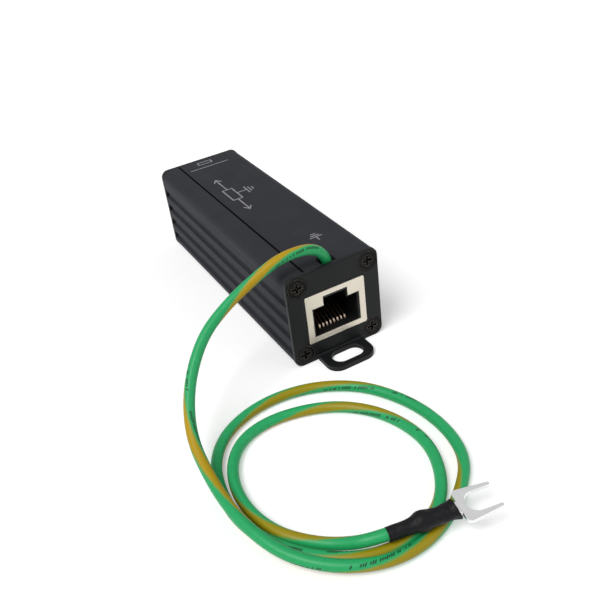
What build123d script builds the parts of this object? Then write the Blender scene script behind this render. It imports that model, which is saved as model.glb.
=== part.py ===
from build123d import *
from math import cos, radians, sin, tan
import os

# An in-line ethernet surge protector: an extruded case with an end plate, a jack and a
# mounting ear at each end, a protection board inside, and a loose earth lead.
# Millimetres. The origin is under the middle of the case, on the surface that it stands on.
# +Z is up, Y runs along the case, and the lead comes out near the -Y end.

# How near two corners must be to count as one
tolerance = 0.0001

# Case extrusion
case_width = 25.0
case_height = 25.0
case_length = 75.6
case_wall = 1.8
case_corner_radius = 2.5
rib_groove_width = 2.0
rib_groove_depth = 0.8
rib_groove_rounding = 0.35
rib_groove_count = 4
rib_groove_foot = 4.3
rib_groove_head = 6.75
top_groove_offset = 6.95
top_groove_width = 0.4
top_groove_depth = 0.6
top_crease_offset = 7.4
top_crease_width = 0.3
top_crease_depth = 0.06

# Screw channels in the four corners of the case
screw_side_inset = 2.9
screw_edge_inset = 3.0
channel_wall = 0.9
channel_rounding = 0.9

# Self-tapping countersunk screws
pilot_diameter = 2.2
thread_clearance = 0.04
screw_length = 8.0
screw_head_diameter = 4.8
screw_head_depth = 1.1
screw_head_sink = 0.1
screw_head_clearance = 0.15
screw_hole_clearance = 0.3
recess_span = 2.7
recess_slot = 0.75
recess_depth = 0.8

# End plates, pressed from sheet with a mounting ear bent out at the foot
plate_thickness = 1.2
plate_corner_radius = 2.2
plate_edge_rounding = 0.3
plate_seam_rounding = 0.15
ear_width = 12.8
ear_reach = 7.3
ear_corner_radius = 3.2
ear_slot_length = 8.4
ear_slot_width = 4.7
ear_slot_setback = 3.35
bend_inside_radius = 0.4

# Shielded jacks
jack_side_gap = 4.35
jack_head_gap = 6.3
jack_depth = 18.0
jack_proud = 0.1
jack_cutout_clearance = 0.15
shield_thickness = 0.3
shield_fold_radius = 0.45
shield_tab_width = 1.6
shield_tab_inset = 3.15
opening_side_band = 1.9
opening_head_band = 1.85
opening_sill = 1.45
latch_notch_width = 6.7
latch_notch_height = 2.4
insulator_gap = 0.05
socket_inset = 0.2
socket_depth = 12.5
peg_diameter = 3.0
peg_inset = 2.435
peg_setback = 8.0

# Jack contacts
contact_count = 8
contact_pitch = 1.02
contact_width = 0.4
contact_thickness = 0.3
contact_bend_radius = 0.3
contact_front_setback = 2.7
contact_slot_width = 0.62
contact_run_height = 0.7
contact_tip_rise = 1.3
contact_tip_lean = 0.45
contact_end_gap = 1.25
contact_end_share = 0.55
contact_slot_end_gap = 0.65
contact_channel_height = 1.1
contact_tail_setback = 14.0
contact_tail_row_gap = 2.1

# Circuit board, which stands on two rails between the screw channels
board_thickness = 1.6
board_side_inset = 5.0
board_end_gap = 1.2
board_top = 5.4
board_side_gap = 0.1
rail_width = 0.8
rail_inset = 0.4
seat_clearance = 0.05
tail_drop = 0.8
tail_hole_clearance = 0.25
film_thickness = 0.3
film_side_gap = 0.15

# Gas discharge tubes
tube_count = 4
tube_diameter = 5.0
tube_length = 8.0
tube_electrode_length = 1.0
tube_ceramic_step = 0.25
tube_pin_diameter = 0.8
tube_pin_spacing = 3.5
tube_lift = 0.3
tube_lead_gap = 3.0

# Clamping diodes
diode_edge_gap = 1.1
diode_column_gap = 2.0
diode_width = 3.6
diode_height = 2.2
diode_lift = 0.15
diode_lead_width = 2.0
diode_lead_thickness = 0.2
diode_lead_reach = 0.5
diode_row_gap = 0.9
diode_tube_gap = 1.3
diode_jack_gap = 1.6

# Chip resistors under the board
chip_length = 2.0
chip_width = 1.25
chip_height = 0.5
chip_column_spacing = 4.2

# Earth lead
lead_diameter = 2.5
lead_core_diameter = 1.2
lead_notch_width = 4.2
lead_lean = 1.5
lead_exit_setback = 1.8
lead_board_setback = 21.3
lead_board_gap = 3.6
lead_jack_gap = 0.65
solder_cone_diameter = 3.0
solder_cone_height = 1.0

# Earth lead's route outside the case, from its arch over the case's edge to the terminal
lead_rest = lead_diameter / 2
lead_route = [
    (-1.4, -36.6, 29.2), (-11, -37, 30.6), (-19, -37, 27.5), (-26.5, -38, 24.5), (-33.5, -40, 21),
    (-39, -44, 16.5), (-43, -49, 12), (-45.5, -55.5, 8.5), (-46, -63, 6), (-46, -71.5, 5),
    (-44.5, -80, 4), (-41.5, -88, 2.75), (-36, -94.5, 2), (-28.5, -98.75, 1.75),
    (-20.5, -99.5, lead_rest), (-12.5, -97, lead_rest), (-5.5, -92.5, lead_rest),
    (0, -87, lead_rest), (2.5, -79.5, lead_rest), (2.5, -70.5, lead_rest),
    (0, -62, lead_rest), (-4.5, -54.5, lead_rest), (-12, -49, lead_rest),
    (-20.5, -46.5, lead_rest), (-29, -47, lead_rest), (-37, -50.5, lead_rest),
    (-42.5, -57, lead_rest), (-45, -65.5, lead_rest), (-45, -74.5, lead_rest),
    (-41.5, -83.5, lead_rest), (-36, -91, lead_rest), (-28.5, -96, lead_rest),
    (-19.5, -96.5, lead_rest), (-11.5, -93, lead_rest), (-6, -87, lead_rest),
    (-3, -79, lead_rest), (-3.5, -71, lead_rest), (-6.5, -63.5, lead_rest),
    (-12, -57.5, lead_rest), (-19, -54, lead_rest), (-27, -52.5, lead_rest),
    (-34, -54, lead_rest), (-39, -58.5, lead_rest), (-42, -65.5, lead_rest),
    (-42, -73, lead_rest), (-39.5, -80.5, lead_rest), (-35.5, -86.5, lead_rest),
    (-31.5, -90, 1.6),
]

# Heat-shrink sleeve and fork terminal at the lead's far end
sleeve_start = (-24.8, -95.5, 4.35)
sleeve_heading = -12.0
sleeve_rise = 2.6
sleeve_length = 14.2
sleeve_wall = 0.28
sleeve_flare = 0.4
sleeve_flare_length = 1.6
sleeve_step_length = 0.9
sleeve_fit = 0.05
lead_straight = 2.9
lead_in_sleeve = 3.5
far_core_diameter = 1.9
bare_length = 3.3
barrel_diameter = 2.9
barrel_length = 4.6
barrel_mouth_diameter = 3.4
barrel_mouth_length = 1.0
barrel_taper_length = 1.0
fork_thickness = 0.8
fork_width = 7.9
fork_reach = 7.6
fork_slot_width = 4.9
fork_yoke = 1.25
fork_setoff = 0.1
fork_heel_width = 6.0
fork_heel_length = 0.5
fork_neck_root = 2.5
fork_neck_root_rounding = 1.1
fork_neck_width = 3.0
fork_neck_rounding = 0.3
fork_tip_width = 6.2
fork_tip_rounding = 0.3
fork_shoulder_rounding = 0.7

# Places worked out from the sizes above
plate_back = case_length / 2
plate_front = plate_back + plate_thickness
ceiling = case_height - case_wall
rib_groove_pitch = (case_height - rib_groove_foot - rib_groove_head) / (rib_groove_count - 1)
rib_groove_heights = [rib_groove_foot + i * rib_groove_pitch for i in range(rib_groove_count)]
screw_x = case_width / 2 - screw_side_inset
screw_heights = (screw_edge_inset, case_height - screw_edge_inset)
pilot_radius = pilot_diameter / 2
board_width = case_width - 2 * board_side_inset
channel_x = board_width / 2 + board_side_gap
channel_half_height = pilot_radius + channel_wall
jack_front = -(plate_front + jack_proud)
jack_back = jack_front + jack_depth
jack_top = case_height - jack_head_gap
jack_width = case_width - 2 * jack_side_gap
shield_tab_spacing = jack_width - 2 * shield_tab_inset
peg_spacing = jack_width - 2 * peg_inset
opening_width = jack_width - 2 * opening_side_band
opening_floor = board_top + opening_sill
opening_height = jack_top - opening_head_band - latch_notch_height - opening_floor
contact_end_height = opening_floor + contact_end_share * opening_height
socket_width = opening_width - 2 * socket_inset
insulator_width = jack_width - 2 * (shield_thickness + insulator_gap)
insulator_front = jack_front + shield_thickness + insulator_gap
insulator_back = jack_back - shield_thickness - insulator_gap
socket_back = insulator_front + socket_depth
insulator_bottom = board_top + seat_clearance
insulator_top = jack_top - shield_thickness - insulator_gap
ear_root_height = plate_thickness + 2 * bend_inside_radius
board_bottom = board_top - board_thickness
board_length = case_length - 2 * board_end_gap
tail_bottom = board_bottom - tail_drop
contact_run = board_top + contact_run_height
diode_rows = [-jack_back - diode_jack_gap - diode_width / 2]
diode_rows.insert(0, diode_rows[0] - diode_width - diode_row_gap)
diode_span = board_width / 2 - diode_edge_gap - diode_column_gap / 2
diode_length = diode_span - 2 * diode_lead_reach
diode_x = (diode_column_gap + diode_span) / 2
lead_exit_y = -(plate_back - lead_exit_setback)
lead_board_y = -(plate_back - lead_board_setback)
tube_first_y = lead_board_y + tube_lead_gap + tube_diameter / 2
tube_last_y = diode_rows[0] - diode_width / 2 - diode_tube_gap - tube_diameter / 2
tube_pitch = (tube_last_y - tube_first_y) / (tube_count - 1)
tube_rows = [tube_first_y + i * tube_pitch for i in range(tube_count)]
lead_start_z = board_top + lead_board_gap
lead_run_z = jack_top + lead_jack_gap + lead_rest


def along_case(sketch, start, end):
    """Extrudes a sketch of the XZ plane from one Y to another."""
    placed = Plane.XZ.offset(-start) * sketch
    return extrude(placed, start - end)


def box_between(low, high):
    """A box from its lowest corner to its highest."""
    size = [b - a for a, b in zip(low, high)]
    middle = [(a + b) / 2 for a, b in zip(low, high)]
    return Pos(*middle) * Box(*size)


def pin(x, y, low, high, diameter):
    """An upright round pin."""
    return Pos(x, y, (low + high) / 2) * Cylinder(diameter / 2, high - low)


def turned(part):
    """The same piece at the other end of the case."""
    return Rot(0, 0, 180) * part


def corner_places():
    """Places of the four screws, seen along the case."""
    return [(side * screw_x, height) for side in (-1, 1) for height in screw_heights]


# Case
def rib_groove(side, height):
    """The cutter of one groove in a side of the case."""
    depth = 2 * rib_groove_depth
    return Pos(side * case_width / 2, height) * Rectangle(depth, rib_groove_width)


def screw_channel(x, height):
    """The stock around one screw, out to the case's corner."""
    side = 1 if x > 0 else -1
    up = 1 if height > case_height / 2 else -1
    width = case_width / 2 - channel_x
    outer = case_height / 2 + up * case_height / 2
    inner = height - up * channel_half_height
    block = Pos(side * (channel_x + width / 2), (outer + inner) / 2) * Rectangle(width, abs(outer - inner))
    corner = block.vertices().sort_by_distance(Vector(0, case_height / 2))[0]
    return fillet(corner, channel_rounding)


def case_section():
    """The extrusion's section: grooved outside, channelled inside."""
    outline = Pos(0, case_height / 2) * RectangleRounded(case_width, case_height, case_corner_radius)
    for height in rib_groove_heights:
        for side in (-1, 1):
            outline -= rib_groove(side, height)
    reach = case_width / 2 - rib_groove_depth
    groove_corners = [v for v in outline.vertices()
                      if any(abs(abs(v.Y - h) - rib_groove_width / 2) < tolerance for h in rib_groove_heights)
                      and abs(v.X) > reach - tolerance]
    outline = fillet(groove_corners, rib_groove_rounding)
    outline -= Pos(-top_groove_offset, case_height) * Rectangle(top_groove_width, 2 * top_groove_depth)
    outline -= Pos(top_crease_offset, case_height) * Rectangle(top_crease_width, 2 * top_crease_depth)
    inner_width = case_width - 2 * case_wall
    inner = Pos(0, (case_wall + ceiling) / 2) * Rectangle(inner_width, ceiling - case_wall)
    for x, height in corner_places():
        inner -= screw_channel(x, height)
    rail_top = board_bottom - seat_clearance
    for side in (-1, 1):
        rail_x = side * (board_width / 2 - rail_inset - rail_width / 2)
        inner -= Pos(rail_x, rail_top / 2) * Rectangle(rail_width, rail_top)
    section = outline - inner
    for x, height in corner_places():
        section -= Pos(x, height) * Circle(pilot_radius)
    return section


def case():
    """The case, with the lead's notch in its top at the -Y end."""
    body = along_case(case_section(), -plate_back, plate_back)
    notch = pin(0, lead_exit_y, ceiling - case_wall, case_height, lead_notch_width)
    half = lead_notch_width / 2
    notch += box_between((-half, -plate_back, ceiling - case_wall), (half, lead_exit_y, case_height))
    return body - notch


# End plates
def countersink(x, height):
    """The cutter of one countersunk screw hole in the -Y plate."""
    top = screw_head_diameter / 2 + screw_head_clearance
    hole = pilot_radius + screw_hole_clearance
    depth = screw_head_depth + screw_head_sink
    profile = Polyline((0, 0), (top, 0), (hole, depth), (hole, 2 * depth), (0, 2 * depth), close=True)
    cutter = revolve(make_face(profile), Axis.Y)
    return Pos(x, -plate_front, height) * cutter


def ear():
    """The mounting ear, bent out of the plate's foot with an oblong slot."""
    tip = -(plate_front + ear_reach)
    points = [(-plate_back, 0), (tip, 0), (tip, plate_thickness), (-plate_front, plate_thickness),
              (-plate_front, ear_root_height), (-plate_back, ear_root_height)]
    face = Plane.YZ * make_face(Polyline(*points, close=True))
    bent = extrude(face, ear_width / 2, both=True)
    along_x = bent.edges().filter_by(Axis.X)
    outer_bend = along_x.sort_by_distance(Vector(0, -plate_back, 0))[0]
    bent = fillet(outer_bend, bend_inside_radius + plate_thickness)
    inner_bend = bent.edges().filter_by(Axis.X).sort_by_distance(Vector(0, -plate_front, plate_thickness))[0]
    bent = fillet(inner_bend, bend_inside_radius)
    tip_corners = bent.edges().filter_by(Axis.Z).group_by(Axis.Y)[0]
    bent = fillet(tip_corners, ear_corner_radius)
    slot = extrude(SlotOverall(ear_slot_length, ear_slot_width), plate_thickness * 2, both=True)
    return bent - Pos(0, -(plate_front + ear_slot_setback), 0) * slot


def end_plate():
    """The -Y end plate: a cut-out for the jack, four countersunk holes and the ear."""
    blank = Pos(0, case_height / 2) * RectangleRounded(case_width, case_height, plate_corner_radius)
    plate = along_case(blank, -plate_front, -plate_back)
    plate = fillet(plate.faces().sort_by(Axis.Y)[0].edges(), plate_edge_rounding)
    plate = fillet(plate.faces().sort_by(Axis.Y)[-1].edges(), plate_seam_rounding)
    plate -= box_between((-ear_width / 2, -plate_front, 0), (ear_width / 2, -plate_back, ear_root_height))
    plate += ear()
    gap = jack_cutout_clearance
    plate -= box_between((-jack_width / 2 - gap, -plate_front, board_top - gap),
                         (jack_width / 2 + gap, -plate_back, jack_top + gap))
    for x, height in corner_places():
        plate -= countersink(x, height)
    return plate


def plate_screw(x, height):
    """One countersunk self-tapping screw with a cross recess."""
    radius = (pilot_diameter - thread_clearance) / 2
    head = screw_head_diameter / 2
    profile = Polyline((0, 0), (head, 0), (radius, screw_head_depth), (radius, screw_length - radius),
                       (0, screw_length), close=True)
    screw = revolve(make_face(profile), Axis.Y)
    cross = Box(recess_span, 2 * recess_depth, recess_slot)
    cross += Box(recess_slot, 2 * recess_depth, recess_span)
    return Pos(x, screw_head_sink - plate_front, height) * (screw - cross)


# Jacks
def opening_sketch(width, notch_width, floor, grow):
    """The plug opening with its latch notch, seen along the case."""
    sketch = Pos(0, floor + opening_height / 2) * Rectangle(width, opening_height)
    notch_height = latch_notch_height + grow
    notch_middle = floor + opening_height + notch_height / 2
    return sketch + Pos(0, notch_middle) * Rectangle(notch_width, notch_height)


def jack_shield():
    """The folded shield: a front frame, sides, top, back and two solder tabs."""
    side = jack_width / 2
    wall = shield_thickness
    shell = box_between((-side, jack_front, board_top), (side, jack_back, jack_top))
    shell = fillet(shell.edges().filter_by(Axis.Y), shield_fold_radius)
    shell -= box_between((wall - side, jack_front + wall, board_top - wall),
                         (side - wall, jack_back - wall, jack_top - wall))
    window = opening_sketch(opening_width, latch_notch_width, opening_floor, 0)
    shell -= along_case(window, jack_front, jack_front + wall)
    for x in (-shield_tab_spacing / 2, shield_tab_spacing / 2):
        shell += box_between((x - shield_tab_width / 2, jack_back - wall, tail_bottom),
                             (x + shield_tab_width / 2, jack_back, board_top + wall))
    return shell


def jack_insulator():
    """The moulded insert: a plug socket with a comb of contact slots in its floor."""
    half = insulator_width / 2
    block = box_between((-half, insulator_front, insulator_bottom), (half, insulator_back, insulator_top))
    socket = opening_sketch(socket_width, latch_notch_width - 2 * socket_inset, opening_floor, -socket_inset)
    block -= along_case(socket, insulator_front, socket_back)
    slot_start = jack_front + contact_front_setback - contact_thickness
    slot_end = socket_back - contact_slot_end_gap
    channel_top = board_top + contact_channel_height
    for i in range(contact_count):
        x = (i - (contact_count - 1) / 2) * contact_pitch
        low = x - contact_slot_width / 2
        high = x + contact_slot_width / 2
        block -= box_between((low, slot_start, insulator_bottom), (high, slot_end, opening_floor))
        block -= box_between((low, slot_end, insulator_bottom), (high, insulator_back, channel_top))
    for x in (-peg_spacing / 2, peg_spacing / 2):
        block += pin(x, jack_front + peg_setback, board_bottom, insulator_bottom, peg_diameter)
    return block


def contact_tail_y(i):
    """Where contact number i goes through the board, in one of two rows."""
    row = 1 if i % 2 else 0
    return jack_front + contact_tail_setback + row * contact_tail_row_gap


def jack_contact(i):
    """One sprung contact: a tail, a run under the floor, a bend and a rising finger."""
    x = (i - (contact_count - 1) / 2) * contact_pitch
    front = jack_front + contact_front_setback
    path = FilletPolyline(
        (contact_tail_y(i), tail_bottom),
        (contact_tail_y(i), contact_run),
        (front, contact_run),
        (front + contact_tip_lean, contact_run + contact_tip_rise),
        (socket_back - contact_end_gap, contact_end_height),
        radius=contact_bend_radius)
    ribbon = Plane.YZ.offset(x) * trace(path, contact_thickness)
    return extrude(ribbon, contact_width / 2, both=True)


# Board and what stands on it
def tube_pins():
    """The pins' places along one gas tube."""
    return (-tube_pin_spacing, 0, tube_pin_spacing)


def circuit_board():
    """The board, drilled for the jacks, the tubes and the lead."""
    half = board_width / 2
    board = box_between((-half, -board_length / 2, board_bottom), (half, board_length / 2, board_top))
    drills = []
    for i in range(contact_count):
        x = (i - (contact_count - 1) / 2) * contact_pitch
        drills.append((x, contact_tail_y(i), contact_width + tail_hole_clearance))
        drills.append((-x, -contact_tail_y(i), contact_width + tail_hole_clearance))
    for x in (-peg_spacing / 2, peg_spacing / 2):
        for end in (-1, 1):
            drills.append((x, -end * (jack_front + peg_setback), peg_diameter + 2 * seat_clearance))
    for y in tube_rows:
        for x in tube_pins():
            drills.append((x, y, tube_pin_diameter + tail_hole_clearance))
    drills.append((0, lead_board_y, lead_core_diameter + tail_hole_clearance))
    for x, y, diameter in drills:
        board -= pin(x, y, board_bottom, board_top, diameter)
    gap = tail_hole_clearance / 2
    for x in (-shield_tab_spacing / 2, shield_tab_spacing / 2):
        slot = box_between((x - shield_tab_width / 2 - gap, jack_back - shield_thickness - gap, board_bottom),
                           (x + shield_tab_width / 2 + gap, jack_back + gap, board_top))
        board -= slot
        board -= turned(slot)
    return board


def insulating_film():
    """A film between the case's floor and the solder side of the board."""
    half = board_width / 2 - rail_inset - rail_width - film_side_gap
    return box_between((-half, -board_length / 2, case_wall),
                       (half, board_length / 2, case_wall + film_thickness))


def gas_tube(y):
    """One three-electrode gas discharge tube, lying across the board on its pins."""
    outer = tube_diameter / 2
    inner = outer - tube_ceramic_step
    half = tube_length / 2
    cap = tube_electrode_length
    profile = Polyline(
        (-half, 0), (-half, outer), (cap - half, outer), (cap - half, inner), (-cap / 2, inner),
        (-cap / 2, outer), (cap / 2, outer), (cap / 2, inner), (half - cap, inner), (half - cap, outer),
        (half, outer), (half, 0), close=True)
    body = revolve(make_face(profile), Axis.X)
    axis_z = board_top + tube_lift + outer
    tube = Pos(0, y, axis_z) * body
    for x in tube_pins():
        tube += pin(x, y, tail_bottom, axis_z - inner, tube_pin_diameter)
    return tube


def diode_places():
    """The four clamping diodes' places on the board."""
    return [(side * diode_x, y) for y in diode_rows for side in (-1, 1)]


def clamp_diode(x, y):
    """One surface-mounted clamping diode's body."""
    low = board_top + diode_lift
    return box_between((x - diode_length / 2, y - diode_width / 2, low),
                       (x + diode_length / 2, y + diode_width / 2, low + diode_height))


def diode_lead(x, y, side):
    """One lead of a diode, folded down its end and out onto the board."""
    edge = x + side * diode_length / 2
    top = board_top + diode_lift + diode_height / 2
    outer = edge + side * diode_lead_thickness
    toe = edge + side * diode_lead_reach
    half = diode_lead_width / 2
    low = board_top
    post = box_between((min(edge, outer), y - half, low), (max(edge, outer), y + half, top))
    foot = box_between((min(edge, toe), y - half, low), (max(edge, toe), y + half, low + diode_lead_thickness))
    return post + foot


def chip_resistors():
    """Chip resistors on the underside of the board, between the tubes' pins."""
    chips = []
    for y in tube_rows:
        for side in (-1, 1):
            x = side * chip_column_spacing / 2
            middle = y + tube_pitch / 2
            chips.append(box_between((x - chip_length / 2, middle - chip_width / 2, board_bottom - chip_height),
                                     (x + chip_length / 2, middle + chip_width / 2, board_bottom)))
    return chips


# Earth lead
def lead_points():
    """The whole route: up from the board, along over the jack, out of the notch and round."""
    inside = [(0, lead_board_y, lead_start_z), (0, lead_board_y, lead_run_z),
              (lead_lean, lead_exit_y, lead_run_z)]
    turn = Vector(*sleeve_start) - sleeve_axis() * lead_straight
    end = Vector(*sleeve_start) + sleeve_axis() * lead_in_sleeve
    return [Vector(*p) for p in inside + lead_route] + [turn, end]


def corner_radii(points):
    """Each corner's arc: 0.45 of its shorter run, divided by the tangent of half its turn."""
    radii = []
    for before, here, after in zip(points, points[1:], points[2:]):
        turn = (here - before).get_angle(after - here)
        shorter = min((here - before).length, (after - here).length)
        radii.append(0.45 * shorter / tan(radians(turn) / 2))
    return radii


def earth_lead():
    """The lead's insulated length, one round tube."""
    points = lead_points()
    radii = corner_radii(points)
    path = FilletPolyline(*points, radius=radii)
    section = Plane(origin=points[0], z_dir=points[1] - points[0]) * Circle(lead_diameter / 2)
    tube = sweep(section, path=path)
    print("lead length", round(path.length, 1), "radii", [round(r, 1) for r in radii])
    print("lead volume over section times length", round(tube.volume / section.area / path.length, 4))
    return tube


def lead_core():
    """The tinned end of the lead in the board, with its solder cone."""
    radius = lead_core_diameter / 2
    core = pin(0, lead_board_y, tail_bottom, lead_start_z, lead_core_diameter)
    profile = Polyline((0, 0), (solder_cone_diameter / 2, 0), (radius, solder_cone_height),
                       (0, solder_cone_height), close=True)
    cone = revolve(Plane.XZ * make_face(profile), Axis.Z)
    return core + Pos(0, lead_board_y, board_top) * cone


def sleeve_axis():
    """The direction of the sleeve and the terminal, rising a little over the coils."""
    level = cos(radians(sleeve_rise))
    return Vector(level * cos(radians(sleeve_heading)), level * sin(radians(sleeve_heading)),
                  sin(radians(sleeve_rise)))


def terminal_plane(distance):
    """The terminal's own plane, some way along from the sleeve's start, X along it."""
    origin = Vector(*sleeve_start) + sleeve_axis() * distance
    across = Vector(0, 0, 1).cross(sleeve_axis())
    return Plane(origin=origin, x_dir=sleeve_axis(), z_dir=sleeve_axis().cross(across))


def heat_shrink_sleeve():
    """The sleeve: snug on the lead, stepped up over the barrel's mouth and flared at its end."""
    mouth = lead_in_sleeve + bare_length
    narrow_in = lead_diameter / 2 + sleeve_fit
    mouth_in = barrel_mouth_diameter / 2 + sleeve_fit
    barrel_in = barrel_diameter / 2 + sleeve_fit
    bore = [
        (0, narrow_in), (mouth - sleeve_step_length, narrow_in), (mouth - sleeve_fit, mouth_in),
        (mouth + barrel_mouth_length, mouth_in),
        (mouth + barrel_mouth_length + barrel_taper_length, barrel_in),
        (sleeve_length - sleeve_flare_length, barrel_in), (sleeve_length, barrel_in + sleeve_flare),
    ]
    skin = [(x, radius + sleeve_wall) for x, radius in reversed(bore)]
    profile = Polyline(*bore, *skin, close=True)
    return terminal_plane(0) * revolve(make_face(profile), Axis.X)


def fork_terminal():
    """The fork: a crimp barrel with a flared mouth, a flattened neck and two tapering prongs."""
    radius = barrel_diameter / 2
    mouth = barrel_mouth_diameter / 2
    taper_end = barrel_mouth_length + barrel_taper_length
    bore_length = barrel_length - fork_thickness
    neck_end = sleeve_length - lead_in_sleeve - bare_length + fork_setoff
    profile = Polyline((0, 0), (0, mouth), (barrel_mouth_length, mouth), (taper_end, radius),
                       (barrel_length, radius), (barrel_length, 0), close=True)
    barrel = revolve(make_face(profile), Axis.X)
    barrel -= Rot(0, 90, 0) * Pos(0, 0, bore_length / 2) * Cylinder(far_core_diameter / 2, bore_length)
    neck_root = Plane((barrel_length, 0, 0), x_dir=(0, 1, 0), z_dir=(1, 0, 0))
    neck_tip = Plane((neck_end, 0, 0), x_dir=(0, 1, 0), z_dir=(1, 0, 0))
    root = neck_root * RectangleRounded(fork_neck_root, fork_neck_root, fork_neck_root_rounding)
    neck = loft([root, neck_tip * RectangleRounded(fork_neck_width, fork_thickness - sleeve_fit, fork_neck_rounding)])
    half = fork_width / 2
    heel = fork_heel_width / 2
    slot = fork_slot_width / 2
    tip = fork_tip_width / 2
    tip_slot = slot - sleeve_fit
    outline = Polyline((neck_end, -heel), (neck_end + fork_heel_length, -half),
                       (neck_end + fork_reach, -tip), (neck_end + fork_reach, tip),
                       (neck_end + fork_heel_length, half), (neck_end, heel), close=True)
    blade = make_face(outline)
    shoulders = [v for v in blade.vertices() if abs(abs(v.Y) - half) < tolerance]
    blade = fillet(shoulders, fork_shoulder_rounding)
    blade -= Pos(neck_end + fork_yoke + slot, 0) * Circle(slot)
    gap_start = neck_end + fork_yoke + slot
    gap = make_face(Polyline((gap_start, -slot), (neck_end + 2 * fork_reach, -tip_slot),
                             (neck_end + 2 * fork_reach, tip_slot), (gap_start, slot), close=True))
    blade -= gap
    tips = [v for v in blade.vertices() if abs(v.X - neck_end - fork_reach) < tolerance]
    blade = fillet(tips, fork_tip_rounding)
    fork = extrude(blade, fork_thickness / 2, both=True)
    return terminal_plane(lead_in_sleeve + bare_length) * (barrel + neck + fork)


def far_core():
    """The bared strands, crimped together in the terminal's barrel."""
    length = bare_length + barrel_length - fork_thickness
    strands = Rot(0, 90, 0) * Pos(0, 0, length / 2) * Cylinder(far_core_diameter / 2, length)
    return terminal_plane(lead_in_sleeve) * strands


def build():
    """Every node's name with its solid or group of solids."""
    plate = end_plate()
    screws = [plate_screw(x, height) for x, height in corner_places()]
    shield = jack_shield()
    insulator = jack_insulator()
    contacts = [jack_contact(i) for i in range(contact_count)]
    nodes = {
        "case_extrusion": case(),
        "front_end_plate": plate,
        "rear_end_plate": turned(plate),
        "front_plate_screws": Compound(children=screws),
        "rear_plate_screws": Compound(children=[turned(s) for s in screws]),
        "front_jack_shield": shield,
        "rear_jack_shield": turned(shield),
        "front_jack_insulator": insulator,
        "rear_jack_insulator": turned(insulator),
        "front_jack_contacts": Compound(children=contacts),
        "rear_jack_contacts": Compound(children=[turned(c) for c in contacts]),
        "circuit_board": circuit_board(),
        "insulating_film": insulating_film(),
        "chip_resistors": Compound(children=chip_resistors()),
    }
    for i, y in enumerate(tube_rows):
        nodes[f"gas_tube_{i + 1}"] = gas_tube(y)
    for i, (x, y) in enumerate(diode_places()):
        nodes[f"clamp_diode_{i + 1}"] = clamp_diode(x, y)
    leads = [diode_lead(x, y, side) for x, y in diode_places() for side in (-1, 1)]
    nodes["clamp_diode_leads"] = Compound(children=leads)
    nodes["earth_lead_core"] = lead_core()
    nodes["earth_lead"] = earth_lead()
    nodes["crimped_strands"] = far_core()
    nodes["heat_shrink_sleeve"] = heat_shrink_sleeve()
    nodes["fork_terminal"] = fork_terminal()
    return nodes


os.makedirs("parts", exist_ok=True)
for name, shape in build().items():
    export_step(shape, f"parts/{name}.step")
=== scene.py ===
import bmesh
import bpy
import numpy as np
from mathutils import Matrix


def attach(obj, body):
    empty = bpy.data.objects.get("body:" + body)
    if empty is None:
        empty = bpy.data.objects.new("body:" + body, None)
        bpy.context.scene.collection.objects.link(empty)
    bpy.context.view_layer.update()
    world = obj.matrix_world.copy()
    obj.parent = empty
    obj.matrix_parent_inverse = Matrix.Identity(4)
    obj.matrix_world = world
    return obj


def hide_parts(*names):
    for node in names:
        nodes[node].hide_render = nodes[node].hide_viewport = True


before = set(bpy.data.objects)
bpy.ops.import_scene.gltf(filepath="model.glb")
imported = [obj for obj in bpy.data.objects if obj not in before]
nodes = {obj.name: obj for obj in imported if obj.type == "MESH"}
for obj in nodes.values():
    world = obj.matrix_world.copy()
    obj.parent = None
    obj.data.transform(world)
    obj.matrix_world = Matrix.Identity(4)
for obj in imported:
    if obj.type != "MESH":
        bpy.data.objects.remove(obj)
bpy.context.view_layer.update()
mm = 0.001


# Small helpers

def hexColour(code):
    # sRGB hex to the linear numbers that a shader reads: the standard curve, with its straight foot
    values = [int(code[i:i + 2], 16) / 255 for i in (1, 3, 5)]
    return tuple(v / 12.92 if v <= 0.04045 else ((v + 0.055) / 1.055) ** 2.4 for v in values) + (1.0,)


def patternScale(size):
    # the scale of a pattern on Object coordinates whose features are this many mm across
    return 1 / (size * mm)


def addNode(tree, kind, inputs=None, **settings):
    # one node with its settings; an input takes a number, a colour or another node's socket, and a mix node's
    # inputs 6 and 7 are its two colours, 2 and 3 its two numbers
    node = tree.nodes.new(kind)
    for name, value in settings.items():
        setattr(node, name, value)
    for name, value in (inputs or {}).items():
        if isinstance(value, bpy.types.NodeSocket):
            tree.links.new(value, node.inputs[name])
        else:
            node.inputs[name].default_value = value
    return node


def newMaterial(name, **sockets):
    # a material and its main shader, with the values that are the same all over the surface
    material = bpy.data.materials.new(name)
    material.use_nodes = True
    shader = material.node_tree.nodes["Principled BSDF"]
    for socket, value in sockets.items():
        shader.inputs[socket.replace("_", " ")].default_value = value
    return material, material.node_tree, shader


def dress(material, *names):
    # a CAD node keeps its mesh and takes the material
    for name in names:
        data = nodes[name].data
        data.materials.clear()
        data.materials.append(material)


def newPiece(name, points, faces, material, body="root", smooth=True, caps=()):
    # a mesh from arrays of points and faces, with its place in the mesh; a cap is one flat face over an end
    mesh = bpy.data.meshes.new(name)
    mesh.from_pydata(points.tolist(), [], faces.tolist() + [cap.tolist() for cap in caps])
    smoothed = np.full(len(mesh.polygons), smooth)
    smoothed[len(faces):] = False
    mesh.polygons.foreach_set("use_smooth", smoothed)
    mesh.materials.append(material)
    mesh.update()
    piece = bpy.data.objects.new(name, mesh)
    bpy.context.scene.collection.objects.link(piece)
    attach(piece, body)
    return piece


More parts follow.
